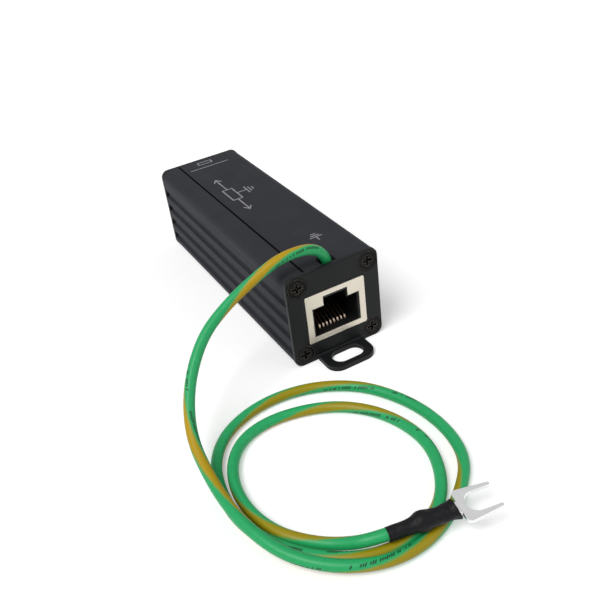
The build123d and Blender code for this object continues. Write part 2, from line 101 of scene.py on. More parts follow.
def gridFaces(rows, columns, closeRows=False):
    # four-sided faces over a grid of points whose columns go all the way round, and its rows too where closed
    i, j = np.meshgrid(np.arange(rows if closeRows else rows - 1), np.arange(columns), indexing="ij")
    nextI, nextJ = (i + 1) % rows, (j + 1) % columns
    return np.stack([i * columns + j, i * columns + nextJ, nextI * columns + nextJ, nextI * columns + j],
                    axis=-1).reshape(-1, 4)


# Camera

camera = {
    "azimuth": -2.0114,  # radians, from +X round to where the camera stands
    "elevation": 0.5904,
    "roll": -0.1348,
    "distance": 195.4 * mm,
    "target": (-5.2 * mm, -31.64 * mm, 12.5 * mm),
    "focalPixels": 803.2,  # of a frame 605 pixels wide
    "frameWidth": 605,
}


def makeCamera(look):
    # out is the direction from the target to the camera; right and up are turned about it by the roll
    az, el, roll = look["azimuth"], look["elevation"], look["roll"]
    out = np.array([np.cos(el) * np.cos(az), np.cos(el) * np.sin(az), np.sin(el)])
    level = np.array([-np.sin(az), np.cos(az), 0.0])
    rise = np.cross(out, level)
    right = np.cos(roll) * level + np.sin(roll) * rise
    up = -np.sin(roll) * level + np.cos(roll) * rise
    place = np.array(look["target"]) + look["distance"] * out
    data = bpy.data.cameras.new("camera")
    data.lens = look["focalPixels"] / look["frameWidth"] * data.sensor_width
    data.clip_start = 0.01
    data.clip_end = 20
    eye = bpy.data.objects.new("camera", data)
    bpy.context.scene.collection.objects.link(eye)
    turn = np.eye(4)
    turn[:3, 0], turn[:3, 1], turn[:3, 2], turn[:3, 3] = right, up, out, place
    eye.matrix_world = Matrix(turn.tolist())
    bpy.context.scene.camera = eye


makeCamera(camera)
print("camera placed")


# Earth lead

lead = {
    "diameter": 2.5 * mm,
    "exit": (0, -36 * mm, 25 * mm),
    "rest": 1.25,  # mm from the floor up to its middle where it lies
    "steps": 14,  # points to each run of the route
    "sides": 32,
    "stripeShare": 0.27,  # of the way round
    "stripeOnTop": (48.7, 93.6, 149.6, 226.4, 292, 358.2, 405),  # mm from the board, once in each turn
    "turnedFrom": (-0.353, -0.751, 0.557),  # the side of the lead that its turns are counted from
    "edgeWaves": (0.35, 0.03),  # waves to the mm along the stripe's edge, and how far they reach round
    "edgeBlur": 0.04,
    "inkPlace": 0.755,  # of the way round from the stripe's middle
    "inkGroup": (17.0, 12.5),  # mm from one group of printed ticks to the next, and how long a group is
    "inkTick": 0.44,  # mm from tick to tick
    "inkShare": 0.66,  # of that is the tick
    "inkSlant": 3.5,  # mm that a tick would lean in one turn round
    "inkEnd": 386,  # mm from the board, where the last group ends
    "inkGaps": 0.24,  # of the ticks are left out
    "inkHeight": (0.024, 0.022),  # of the way round: half the shortest tick, and what chance adds to it
    "inkCover": 0.94,  # of what lies under it is hidden
    "green": ("#1c9f5a", "#2bb36d"),
    "yellow": ("#988c06", "#ba9807"),  # greenish far along, and warmer near the case
    "yellowFade": (70, 150),  # mm from the board
    "yellowDrift": (0.05, 0.3),  # slow waves to the mm, and how much they warm it
    "cloud": 1.111,  # mm, the plastic's own unevenness
    "skin": 0.25,  # mm, coarser than the real skin so that it shows
    "ink": "#07190f",
}

floorZ = lead["rest"]
leadRoute = [
    (0, -16.5, 9), (0, -16.5, 20.6), (1.5, -36, 20.6),
    (-1.4, -36.6, 29.2), (-11, -37, 30.6), (-19, -37, 27.5), (-26.5, -38, 24.5), (-33.5, -40, 21),
    (-39, -44, 16.5), (-43, -49, 12), (-45.5, -55.5, 8.1), (-46, -63, 5.3), (-46, -71.5, 4.2),
    (-44.9, -80, 3.75), (-41.8, -87.9, 2.8), (-36.05, -94.35, 2.3), (-28.5, -98.6, 2),
    (-20.3, -99.35, 1.5), (-12.5, -97, floorZ), (-5.5, -92.5, floorZ),
    (0, -87, floorZ), (2.5, -79.5, floorZ), (2.5, -70.5, floorZ),
    (0, -62, floorZ), (-4.5, -54.5, floorZ), (-12, -49, floorZ),
    (-20.5, -46.5, floorZ), (-29, -47, floorZ), (-37, -50.5, floorZ),
    (-42.5, -57, floorZ), (-45, -65.5, floorZ), (-45.2, -74.9, floorZ),
    (-41.9, -83.8, floorZ), (-36.1, -91.2, floorZ), (-28.5, -96, floorZ),
    (-19.4, -96.8, floorZ), (-11.2, -93.3, floorZ), (-6, -87, floorZ),
    (-3, -79, floorZ), (-3.5, -71, floorZ), (-6.5, -63.5, floorZ),
    (-12, -57.5, floorZ), (-19, -54, floorZ), (-27, -52.5, floorZ),
    (-34, -54, floorZ), (-39, -58.5, floorZ), (-42, -65.5, floorZ),
    (-42.45, -73.6, floorZ), (-40.3, -81.2, floorZ), (-35.9, -86.9, floorZ),
    (-31.7, -90.8, 1.8), (-27.63, -94.9, 4.22), (-21.38, -96.23, 4.51),
]


def splinePoints(route, steps):
    # points along the smooth line that has the route as its control points, in metres
    curve = bpy.data.curves.new("route", "CURVE")
    curve.dimensions = "3D"
    curve.resolution_u = steps
    spline = curve.splines.new("NURBS")
    spline.points.add(len(route) - 1)
    spline.points.foreach_set("co", np.hstack([np.array(route) * mm, np.ones((len(route), 1))]).ravel())
    spline.order_u = 3
    spline.use_endpoint_u = True
    holder = bpy.data.objects.new("route", curve)
    bpy.context.scene.collection.objects.link(holder)
    mesh = bpy.data.meshes.new_from_object(holder)
    points = np.empty(len(mesh.vertices) * 3)
    mesh.vertices.foreach_get("co", points)
    bpy.data.objects.remove(holder)
    bpy.data.meshes.remove(mesh)
    return points.reshape(-1, 3)


def lengthAlong(points):
    # the running length at each point of a line
    return np.concatenate([[0], np.cumsum(np.linalg.norm(np.diff(points, axis=0), axis=1))])


def leadMaterial(look, length):
    # extruded PVC: a waxy skin with a soft broad gloss, and a stripe of the same plastic let into it
    material, tree, shader = newMaterial("extrudedPvc", Roughness=0.42, IOR=1.53,
                                         Specular_IOR_Level=0.32)
    uv = addNode(tree, "ShaderNodeUVMap", uv_map="lead")
    parts = addNode(tree, "ShaderNodeSeparateXYZ", {0: uv.outputs["UV"]})
    along = addNode(tree, "ShaderNodeMath", {0: parts.outputs["X"], 1: length / mm}, operation="MULTIPLY")
    # distance round from the stripe's middle, which is at 0 and 1: a half minus how far v is from a half
    fromHalf = addNode(tree, "ShaderNodeMath", {0: parts.outputs["Y"], 1: 0.5}, operation="SUBTRACT")
    offHalf = addNode(tree, "ShaderNodeMath", {0: fromHalf.outputs[0]}, operation="ABSOLUTE")
    wander = addNode(tree, "ShaderNodeTexNoise", {
        "Scale": look["edgeWaves"][0], "Detail": 2.0, "W": along.outputs[0]}, noise_dimensions="1D")
    edge = addNode(tree, "ShaderNodeMath", {
        0: wander.outputs["Fac"], 1: look["edgeWaves"][1], 2: offHalf.outputs[0]}, operation="MULTIPLY_ADD")
    half = 0.5 - look["stripeShare"] / 2 + look["edgeWaves"][1] / 2
    stripe = addNode(tree, "ShaderNodeMapRange", {
        "Value": edge.outputs[0], "From Min": half - look["edgeBlur"], "From Max": half + look["edgeBlur"]})
    coordinate = addNode(tree, "ShaderNodeTexCoord")
    tone = addNode(tree, "ShaderNodeTexNoise", {
        "Scale": patternScale(look["cloud"]), "Detail": 3.0, "Roughness": 0.6,
        "Vector": coordinate.outputs["Object"]})
    fade = addNode(tree, "ShaderNodeMapRange", {
        "Value": along.outputs[0], "From Min": look["yellowFade"][0], "From Max": look["yellowFade"][1],
        "To Min": 1.0, "To Max": 0.0})
    slow = addNode(tree, "ShaderNodeTexNoise", {
        "Scale": look["yellowDrift"][0], "Detail": 1.0, "W": along.outputs[0]}, noise_dimensions="1D")
    warm = addNode(tree, "ShaderNodeMath", {
        0: slow.outputs["Fac"], 1: look["yellowDrift"][1], 2: fade.outputs["Result"]},
        operation="MULTIPLY_ADD", use_clamp=True)
    greens = addNode(tree, "ShaderNodeMix", {
        "Factor": tone.outputs["Fac"], 6: hexColour(look["green"][0]), 7: hexColour(look["green"][1])},
        data_type="RGBA")
    yellows = addNode(tree, "ShaderNodeMix", {
        "Factor": warm.outputs[0], 6: hexColour(look["yellow"][0]), 7: hexColour(look["yellow"][1])},
        data_type="RGBA")
    bands = addNode(tree, "ShaderNodeMix", {
        "Factor": stripe.outputs["Result"], 6: greens.outputs[2], 7: yellows.outputs[2]}, data_type="RGBA")
    # printed ticks beside the stripe: short slanted strokes of uneven height, in groups
    group = addNode(tree, "ShaderNodeMath", {0: along.outputs[0], 1: look["inkGroup"][0]}, operation="MODULO")
    inGroup = addNode(tree, "ShaderNodeMath", {
        0: group.outputs[0], 1: look["inkGroup"][1]}, operation="LESS_THAN")
    slanted = addNode(tree, "ShaderNodeMath", {
        0: parts.outputs["Y"], 1: look["inkSlant"], 2: along.outputs[0]}, operation="MULTIPLY_ADD")
    cell = addNode(tree, "ShaderNodeMath", {0: slanted.outputs[0], 1: look["inkTick"]}, operation="DIVIDE")
    number = addNode(tree, "ShaderNodeMath", {0: cell.outputs[0]}, operation="FLOOR")
    rest = addNode(tree, "ShaderNodeMath", {0: cell.outputs[0], 1: number.outputs[0]}, operation="SUBTRACT")
    inTick = addNode(tree, "ShaderNodeMath", {0: rest.outputs[0], 1: look["inkShare"]}, operation="LESS_THAN")
    chance = addNode(tree, "ShaderNodeTexWhiteNoise", {"W": number.outputs[0]}, noise_dimensions="1D")
    lucky = addNode(tree, "ShaderNodeMath", {
        0: chance.outputs["Value"], 1: look["inkGaps"]}, operation="GREATER_THAN")
    onTick = addNode(tree, "ShaderNodeMath", {
        0: lucky.outputs[0], 1: inTick.outputs[0]}, operation="MULTIPLY")
    fromLine = addNode(tree, "ShaderNodeMath", {
        0: parts.outputs["Y"], 1: look["inkPlace"]}, operation="SUBTRACT")
    offLine = addNode(tree, "ShaderNodeMath", {0: fromLine.outputs[0]}, operation="ABSOLUTE")
    reach = addNode(tree, "ShaderNodeMath", {
        0: chance.outputs["Value"], 1: look["inkHeight"][1], 2: look["inkHeight"][0]},
        operation="MULTIPLY_ADD")
    nearLine = addNode(tree, "ShaderNodeMath", {
        0: offLine.outputs[0], 1: reach.outputs[0]}, operation="LESS_THAN")
    printed = addNode(tree, "ShaderNodeMath", {0: along.outputs[0], 1: look["inkEnd"]}, operation="LESS_THAN")
    grouped = addNode(tree, "ShaderNodeMath", {
        0: inGroup.outputs[0], 1: printed.outputs[0]}, operation="MULTIPLY")
    both = addNode(tree, "ShaderNodeMath", {
        0: grouped.outputs[0], 1: onTick.outputs[0]}, operation="MULTIPLY")
    inked = addNode(tree, "ShaderNodeMath", {
        0: both.outputs[0], 1: nearLine.outputs[0]}, operation="MULTIPLY")
    worn = addNode(tree, "ShaderNodeMath", {0: inked.outputs[0], 1: look["inkCover"]}, operation="MULTIPLY")
    colour = addNode(tree, "ShaderNodeMix", {
        "Factor": worn.outputs[0], 6: bands.outputs[2], 7: hexColour(look["ink"])}, data_type="RGBA")
    tree.links.new(colour.outputs[2], shader.inputs["Base Color"])
    skin = addNode(tree, "ShaderNodeTexNoise", {
        "Scale": patternScale(look["skin"]), "Detail": 2.0, "Vector": coordinate.outputs["Object"]})
    bump = addNode(tree, "ShaderNodeBump", {
        "Strength": 0.05, "Distance": 0.02 * mm, "Height": skin.outputs["Fac"]})
    tree.links.new(bump.outputs["Normal"], shader.inputs["Normal"])
    return material


def makeLead(look):
    # rings of radius r round the route: point = line + r (cos a * side + sin a * other), where a starts at
    # the stripe's middle, so the rings turn with the stripe
    line = splinePoints(leadRoute, look["steps"])
    run = lengthAlong(line)
    ahead = np.gradient(line, axis=0)
    ahead /= np.linalg.norm(ahead, axis=1)[:, None]
    view = np.array(look["turnedFrom"])
    side = view - (ahead @ view)[:, None] * ahead
    side /= np.linalg.norm(side, axis=1)[:, None]
    other = np.cross(ahead, side)
    marks = np.array(look["stripeOnTop"]) * mm
    first = 2 * marks[0] - marks[1]
    last = 2 * marks[-1] - marks[-2]
    turns = np.interp(run, np.concatenate([[first], marks, [last]]), np.arange(-1, len(marks) + 1))
    columns = look["sides"]
    angle = 2 * np.pi * (np.arange(columns)[None, :] / columns - turns[:, None])
    ring = np.cos(angle)[..., None] * side[:, None, :] + np.sin(angle)[..., None] * other[:, None, :]
    points = line[:, None, :] + look["diameter"] / 2 * ring
    faces = gridFaces(len(line), columns)
    start, end = np.arange(columns)[::-1], (len(line) - 1) * columns + np.arange(columns)
    piece = newPiece("earthLead", points.reshape(-1, 3), faces, leadMaterial(look, run[-1]),
                     caps=(start, end))
    # the map for the stripe and the print: the share of the length, then of the way round from the stripe
    layer = piece.data.uv_layers.new(name="lead")
    rows, cols = np.divmod(np.arange(len(faces)), columns)
    u = run / run[-1]
    v = np.arange(columns + 1) / columns
    uv = np.stack([np.stack([u[rows], v[cols]], -1), np.stack([u[rows], v[cols + 1]], -1),
                   np.stack([u[rows + 1], v[cols + 1]], -1), np.stack([u[rows + 1], v[cols]], -1)], axis=1)
    ends = np.concatenate([np.tile([0.0, 0.5], (columns, 1)), np.tile([1.0, 0.5], (columns, 1))])
    layer.data.foreach_set("uv", np.concatenate([uv.reshape(-1, 2), ends]).ravel())
    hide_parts("earth_lead")
    return piece, line, run[-1]


leadPiece, leadLine, leadLength = makeLead(lead)
print("earth lead,", round(leadLength / mm), "mm")


# Heat-shrink sleeve

sleeve = {
    "start": (-24.8, -95.5, 4.35),
    "heading": -12.0,  # degrees
    "rise": 2.6,
    # distance along in mm, then the radius of the bore, of the skin on its high side and on its low side
    "profile": [
        (0, 1.27, 1.36, 1.46), (1.0, 1.27, 1.37, 1.47), (3.8, 1.27, 1.4, 1.48), (4.9, 1.3, 1.5, 1.54),
        (5.5, 1.38, 1.66, 1.66), (6.0, 1.6, 2.0, 1.8), (6.6, 1.7, 2.13, 1.84), (7.5, 1.72, 2.1, 1.84),
        (8.1, 1.66, 1.88, 1.8), (8.8, 1.52, 1.74, 1.72), (9.8, 1.48, 1.7, 1.68), (11.6, 1.48, 1.8, 1.72),
        (12.5, 1.5, 1.78, 1.66), (13.3, 1.62, 1.96, 1.76), (14.2, 1.85, 2.14, 2.02),
    ],
    "highSide": 0.6,  # radians from straight up
    "ragged": 0.06,  # mm that the cut end wanders
    "slant": 0.9,  # mm that the cut end is shorter on its high side
    "cutZone": (9.5, 4.7),  # mm from the start where the cut's unevenness begins, and mm over which it grows
    # slow waves of the skin: height in mm, how many round, how they turn with each mm along, where they start
    "waves": [(0.03, 2, 0.9, 0), (0.03, 3, -1.7, 1), (0.022, 5, 2.3, 2)],
    "waveGrowth": 4,  # mm from the start until the waves are whole
    "leastWall": 0.07,
    "along": 72,
    "around": 48,
    "colours": ("#060507", "#121015"),
    "cloud": 1.429,  # mm
    "grain": (0.3846, 0.05),  # mm across and deep, coarser than the real grain so that it shows
    "wrinkle": (1.053, 0.25),  # mm across and deep
}


def sleeveAxes(look):
    # along the sleeve, across it and up from it
    heading, rise = np.radians(look["heading"]), np.radians(look["rise"])
    along = np.array([np.cos(rise) * np.cos(heading), np.cos(rise) * np.sin(heading), np.sin(rise)])
    across = np.cross([0, 0, 1], along)
    across /= np.linalg.norm(across)
    return along, across, np.cross(along, across)


def shrinkMaterial(look):
    # heat-shrunk polyolefin: nearly black with a dull plum sheen, finely wrinkled where it shrank
    material, tree, shader = newMaterial("shrunkPolyolefin", Roughness=0.5, IOR=1.49,
                                         Specular_IOR_Level=0.22)
    coordinate = addNode(tree, "ShaderNodeTexCoord")
    cloud = addNode(tree, "ShaderNodeTexNoise", {
        "Scale": patternScale(look["cloud"]), "Detail": 3.0, "Vector": coordinate.outputs["Object"]})
    colour = addNode(tree, "ShaderNodeMix", {
        "Factor": cloud.outputs["Fac"], 6: hexColour(look["colours"][0]), 7: hexColour(look["colours"][1])},
        data_type="RGBA")
    tree.links.new(colour.outputs[2], shader.inputs["Base Color"])
    grain = addNode(tree, "ShaderNodeTexNoise", {
        "Scale": patternScale(look["grain"][0]), "Detail": 3.0, "Vector": coordinate.outputs["Object"]})
    # the wrinkles lie under the grain
    crease = addNode(tree, "ShaderNodeTexNoise", {
        "Scale": patternScale(look["wrinkle"][0]), "Detail": 2.0, "Distortion": 0.6,
        "Vector": coordinate.outputs["Object"]})
    wrinkled = addNode(tree, "ShaderNodeBump", {
        "Strength": 0.8, "Distance": look["wrinkle"][1] * mm, "Height": crease.outputs["Fac"]})
    bump = addNode(tree, "ShaderNodeBump", {
        "Strength": 0.35, "Distance": look["grain"][1] * mm, "Height": grain.outputs["Fac"],
        "Normal": wrinkled.outputs["Normal"]})
    tree.links.new(bump.outputs["Normal"], shader.inputs["Normal"])
    return material


def makeSleeve(look):
    # the bore's profile out and the skin's profile back, turned round the axis: point = start + x * along +
    # r (cos a * up + sin a * across); the skin's r lies between its high and its low profile by the cosine of
    # the angle, plus a sum of slow waves, and x near the cut end wanders by sines of the angle
    along, across, up = sleeveAxes(look)
    table = np.array(look["profile"])
    fine = np.linspace(0, table[-1, 0], look["along"])
    softened = [0.1, 0.2, 0.4, 0.2, 0.1]  # weights that take the corners off the profiles
    bore, high, low = [np.convolve(np.pad(np.interp(fine, table[:, 0], table[:, i]), 2, mode="edge"),
                                   softened, mode="valid") for i in (1, 2, 3)]
    angle = 2 * np.pi * np.arange(look["around"]) / look["around"]
    share = 0.5 + 0.5 * np.cos(angle - look["highSide"])
    waves = sum(size * np.sin(count * angle + twist * fine[:, None] + phase)
                for size, count, twist, phase in look["waves"])
    waves = waves * np.clip(fine[:, None] / look["waveGrowth"], 0.2, 1)
    skin = high[:, None] * share + low[:, None] * (1 - share) + waves
    skin = np.maximum(skin, bore[:, None] + look["leastWall"])
    r = np.concatenate([np.repeat(bore[:, None], look["around"], axis=1), skin[::-1]]) * mm
    nearCut = np.clip((fine[:, None] - look["cutZone"][0]) / look["cutZone"][1], 0, 1)
    cut = look["ragged"] * (np.sin(3 * angle + 0.5) + 0.6 * np.sin(7 * angle) - 1) - look["slant"] * share
    x = fine[:, None] + cut * nearCut ** 2
    x = np.concatenate([x, x[::-1]]) * mm
    start = np.array(look["start"]) * mm
    points = (start + x[..., None] * along
              + r[..., None] * (np.cos(angle)[None, :, None] * up + np.sin(angle)[None, :, None] * across))
    faces = gridFaces(len(x), look["around"], closeRows=True)
    piece = newPiece("shrinkSleeve", points.reshape(-1, 3), faces, shrinkMaterial(look))
    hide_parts("heat_shrink_sleeve")
    return piece


sleevePiece = makeSleeve(sleeve)
print("heat-shrink sleeve")


# Finishes

surface = {
    "smear": 11.11,  # mm, the slow unevenness that handling leaves
    "smearReach": (0.9, 1.12),  # times the roughness
    "wearAndGlintPatches": 2.381,  # mm across the patches of an edge whose wear and painted highlight are alike
    "wearAndGlintPatchShare": (0.3, 1.0),  # of the wear and painted highlight, from patch to patch
}


def grainedMaterial(name, colours, cloud, grain, depth, **sockets):
    # a base that wanders between two near colours in clouds so many mm across, with a grain in its surface so
    # many mm across and deep; most real grains are too fine to show, so they are drawn as coarse as it takes
    material, tree, shader = newMaterial(name, **sockets)
    coordinate = addNode(tree, "ShaderNodeTexCoord")
    clouds = addNode(tree, "ShaderNodeTexNoise", {
        "Scale": patternScale(cloud), "Detail": 3.0, "Vector": coordinate.outputs["Object"]})
    colour = addNode(tree, "ShaderNodeMix", {
        "Factor": clouds.outputs["Fac"], 6: hexColour(colours[0]), 7: hexColour(colours[1])},
        data_type="RGBA")
    tree.links.new(colour.outputs[2], shader.inputs["Base Color"])
    # handling leaves the gloss uneven: the roughness drifts about a tenth up and down with a slower cloud
    smear = addNode(tree, "ShaderNodeTexNoise", {
        "Scale": patternScale(surface["smear"]), "Detail": 2.0, "Vector": coordinate.outputs["Object"]})
    base = shader.inputs["Roughness"].default_value
    least, most = [base * times for times in surface["smearReach"]]
    drift = addNode(tree, "ShaderNodeMapRange", {
        "Value": smear.outputs["Fac"], "From Min": 0.3, "From Max": 0.7, "To Min": least,
        "To Max": min(most, 1.0)})
    tree.links.new(drift.outputs["Result"], shader.inputs["Roughness"])
    grains = addNode(tree, "ShaderNodeTexNoise", {
        "Scale": patternScale(grain), "Detail": 2.0, "Vector": coordinate.outputs["Object"]})
    bump = addNode(tree, "ShaderNodeBump", {
        "Strength": 0.3, "Distance": depth * mm, "Height": grains.outputs["Fac"]})
    tree.links.new(bump.outputs["Normal"], shader.inputs["Normal"])
    return material


def overlay(material, mask, colour, **sockets):
    # another finish or painted shade over part of a surface: each value goes from what it was to the new one
    # by the mask
    tree = material.node_tree
    shader = tree.nodes["Principled BSDF"]
    former = shader.inputs["Base Color"].links[0].from_socket
    mixed = addNode(tree, "ShaderNodeMix", {
        "Factor": mask, 6: former, 7: hexColour(colour)}, data_type="RGBA")
    tree.links.new(mixed.outputs[2], shader.inputs["Base Color"])
    for name, value in sockets.items():
        socket = shader.inputs[name.replace("_", " ")]
        former = socket.links[0].from_socket if socket.is_linked else socket.default_value
        mixed = addNode(tree, "ShaderNodeMix", {"Factor": mask, 2: former, 3: value})
        tree.links.new(mixed.outputs[0], socket)
    return material


def roundEdges(material, reach, colour, wearAndGlint, **sockets):
    # sharp edges catch light as if they were rounded over the reach in mm, and their colour is lightened
    # there, partly as wear and partly as a painted highlight: the mask is how far the rounded normal turns
    # from the true one, broken by a coarse noise and scaled by the strength of that wear and painted
    # highlight
    tree = material.node_tree
    shader = tree.nodes["Principled BSDF"]
    rounded = addNode(tree, "ShaderNodeBevel", {"Radius": reach * mm}, samples=6)
    tree.links.new(rounded.outputs["Normal"], shader.inputs["Normal"].links[0].from_node.inputs["Normal"])
    here = addNode(tree, "ShaderNodeNewGeometry")
    agree = addNode(tree, "ShaderNodeVectorMath", {
        0: rounded.outputs["Normal"], 1: here.outputs["Normal"]}, operation="DOT_PRODUCT")
    turned = addNode(tree, "ShaderNodeMapRange", {
        "Value": agree.outputs["Value"], "From Min": 0.99, "From Max": 0.85})
    coordinate = addNode(tree, "ShaderNodeTexCoord")
    broken = addNode(tree, "ShaderNodeTexNoise", {
        "Scale": patternScale(surface["wearAndGlintPatches"]), "Detail": 3.0, "Vector": coordinate.outputs["Object"]})
    least, most = [wearAndGlint * share for share in surface["wearAndGlintPatchShare"]]
    wearAndGlintPatches = addNode(tree, "ShaderNodeMapRange", {
        "Value": broken.outputs["Fac"], "From Min": 0.35, "From Max": 0.65, "To Min": least, "To Max": most})
    mask = addNode(tree, "ShaderNodeMath", {
        0: turned.outputs["Result"], 1: wearAndGlintPatches.outputs["Result"]}, operation="MULTIPLY")
    return overlay(material, mask.outputs[0], colour, **sockets)


def objectPlace(tree):
    # where a point is on the object, as the sockets X, Y and Z
    coordinate = addNode(tree, "ShaderNodeTexCoord")
    return addNode(tree, "ShaderNodeSeparateXYZ", {0: coordinate.outputs["Object"]}).outputs


def between(tree, distance, low, high):
    # a mask that is 1 where a distance lies between low and high mm
    past = addNode(tree, "ShaderNodeMath", {0: distance, 1: low * mm}, operation="GREATER_THAN")
    short = addNode(tree, "ShaderNodeMath", {0: distance, 1: high * mm}, operation="LESS_THAN")
    mask = addNode(tree, "ShaderNodeMath", {0: past.outputs[0], 1: short.outputs[0]}, operation="MULTIPLY")
    return mask.outputs[0]


def bandOn(material, axis, middle, low, high, colour, **sockets):
    # another finish or painted shade on the bands between low and high mm from a middle, which is itself so
    # many mm from the object's middle along one axis, on both sides
    tree = material.node_tree
    place = objectPlace(tree)
    mirrored = addNode(tree, "ShaderNodeMath", {0: place[axis]}, operation="ABSOLUTE")
    fromMiddle = addNode(tree, "ShaderNodeMath", {
        0: mirrored.outputs[0], 1: middle * mm}, operation="SUBTRACT")
    away = addNode(tree, "ShaderNodeMath", {0: fromMiddle.outputs[0]}, operation="ABSOLUTE")
    return overlay(material, between(tree, away.outputs[0], low, high), colour, **sockets)


def finishBelow(material, level, colour, **sockets):
    # another finish under a level in mm, such as the tinned tails of a plated contact
    tree = material.node_tree
    place = objectPlace(tree)
    mask = addNode(tree, "ShaderNodeMath", {0: place["Z"], 1: level * mm}, operation="LESS_THAN")
    return overlay(material, mask.outputs[0], colour, **sockets)


case = {
    "colours": ("#2b2c30", "#36373d"),
    "cloud": 8.333,  # mm
    "blast": 0.2,  # mm from grain to grain that blasting leaves, coarser than the real so that they show
    "dieLines": (0.4545, 40.0),  # mm across and along, the lines that the die leaves
    "roughness": (0.6, 0.68),  # from line to line
    "bumps": 0.015,  # mm deep
    "joint": -6.95,  # mm from the middle plane
    "jointReach": 0.26,
    "jointBlur": 0.06,
    "jointFrom": 24.0,  # mm up
}


def anodisedAluminium(look):
    # blasted and black anodised aluminium: charcoal, with faint lines lengthwise and a dry soft gloss
    material, tree, shader = newMaterial("anodisedAluminium", Metallic=0.08, Roughness=0.64,
                                         Specular_IOR_Level=0.12)
    coordinate = addNode(tree, "ShaderNodeTexCoord")
    cloud = addNode(tree, "ShaderNodeTexNoise", {
        "Scale": patternScale(look["cloud"]), "Detail": 4.0, "Vector": coordinate.outputs["Object"]})
    colour = addNode(tree, "ShaderNodeMix", {
        "Factor": cloud.outputs["Fac"], 6: hexColour(look["colours"][0]), 7: hexColour(look["colours"][1])},
        data_type="RGBA")
    tree.links.new(colour.outputs[2], shader.inputs["Base Color"])
    # the grains of the blasting and the lines of the die share one bump, and the lines turn the gloss too
    blast = addNode(tree, "ShaderNodeTexNoise", {
        "Scale": patternScale(look["blast"]), "Detail": 2.0, "Vector": coordinate.outputs["Object"]})
    across, along = [patternScale(size) for size in look["dieLines"]]
    draw = addNode(tree, "ShaderNodeMapping", {
        "Vector": coordinate.outputs["Object"], "Scale": (across, along, across)})
    lines = addNode(tree, "ShaderNodeTexNoise", {
        "Scale": 1.0, "Detail": 2.0, "Vector": draw.outputs["Vector"]})
    gloss = addNode(tree, "ShaderNodeMapRange", {
        "Value": lines.outputs["Fac"], "From Min": 0.3, "From Max": 0.7, "To Min": look["roughness"][0],
        "To Max": look["roughness"][1]})
    tree.links.new(gloss.outputs["Result"], shader.inputs["Roughness"])
    height = addNode(tree, "ShaderNodeMath", {
        0: lines.outputs["Fac"], 1: 0.35, 2: blast.outputs["Fac"]}, operation="MULTIPLY_ADD")
    bump = addNode(tree, "ShaderNodeBump", {
        "Strength": 0.2, "Distance": look["bumps"] * mm, "Height": height.outputs[0]})
    tree.links.new(bump.outputs["Normal"], shader.inputs["Normal"])
    roundEdges(material, reach=0.25, colour="#54555a", wearAndGlint=0.5, Roughness=0.5)
    # painted shade: the joint along the top is darkened inside and at its lips, as shade would darken a
    # narrow groove
    place = objectPlace(tree)
    aside = addNode(tree, "ShaderNodeMath", {0: place["X"], 1: look["joint"] * mm}, operation="SUBTRACT")
    away = addNode(tree, "ShaderNodeMath", {0: aside.outputs[0]}, operation="ABSOLUTE")
    close = addNode(tree, "ShaderNodeMapRange", {
        "Value": away.outputs[0], "From Min": (look["jointReach"] + look["jointBlur"]) * mm,
        "From Max": look["jointReach"] * mm})
    high = addNode(tree, "ShaderNodeMath", {
        0: place["Z"], 1: look["jointFrom"] * mm}, operation="GREATER_THAN")
    mask = addNode(tree, "ShaderNodeMath", {
        0: close.outputs["Result"], 1: high.outputs[0]}, operation="MULTIPLY")
    return overlay(material, mask.outputs[0], "#060607", Roughness=0.8)


dress(anodisedAluminium(case), "case_extrusion")


# all in mm from the middle plane, the floor or the middle of a screw
screws = {
    "across": 9.6,
    "middle": 12.5,  # halfway between the two rows
    "apart": 19.0,  # from row to row
    "shadeRing": (0, 2.85),  # painted shade: the dark ring on the plate round each head
    "rimShade": (1.95, 2.5),  # painted shade: the dark rim of a head
}


def ringsOn(material, look, low, high, colour, **sockets):
    # another colour between two distances in mm from the middles of the screws, which lie in two rows; here
    # it is painted shade round the heads
    tree = material.node_tree
    place = objectPlace(tree)
    mirrored = addNode(tree, "ShaderNodeMath", {0: place["X"]}, operation="ABSOLUTE")
    across = addNode(tree, "ShaderNodeMath", {
        0: mirrored.outputs[0], 1: look["across"] * mm}, operation="SUBTRACT")
    lifted = addNode(tree, "ShaderNodeMath", {0: place["Z"], 1: look["middle"] * mm}, operation="SUBTRACT")
    folded = addNode(tree, "ShaderNodeMath", {0: lifted.outputs[0]}, operation="ABSOLUTE")
    height = addNode(tree, "ShaderNodeMath", {
        0: folded.outputs[0], 1: look["apart"] / 2 * mm}, operation="SUBTRACT")
    flat = addNode(tree, "ShaderNodeCombineXYZ", {"X": across.outputs[0], "Y": height.outputs[0]})
    away = addNode(tree, "ShaderNodeVectorMath", {0: flat.outputs["Vector"]}, operation="LENGTH")
    return overlay(material, between(tree, away.outputs["Value"], low, high), colour, **sockets)


# satin black powder coat on pressed steel sheet: even and slightly pebbled; its edges are lightened, partly
# as thin coat and partly as a painted highlight, and a ring of painted shade darkens the plate round each
# head
powderCoat = grainedMaterial("powderCoatedSteel", ("#0b0c0e", "#131517"), cloud=3.846, grain=0.5556,
                             depth=0.04, Roughness=0.5, IOR=1.5, Specular_IOR_Level=0.24)
roundEdges(powderCoat, reach=0.22, colour="#4a4c4e", wearAndGlint=0.6, Roughness=0.38)
ringsOn(powderCoat, screws, *screws["shadeRing"], "#040404", Roughness=0.6)
dress(powderCoat, "front_end_plate", "rear_end_plate")
# black oxide on hardened steel: an oily near-black; painted shade darkens the rim of each head, and its edges
# at the recess are lightened, partly as bare worn metal and partly as painted glints
blackOxide = grainedMaterial("blackOxideSteel", ("#131211", "#22201e"), cloud=2, grain=0.3333, depth=0.02,
                             Metallic=0.85, Roughness=0.36)
ringsOn(blackOxide, screws, *screws["rimShade"], "#0a0a09", Roughness=0.5)
roundEdges(blackOxide, reach=0.16, colour="#a89f92", wearAndGlint=0.7, Roughness=0.28)
dress(blackOxide, "front_plate_screws", "rear_plate_screws")


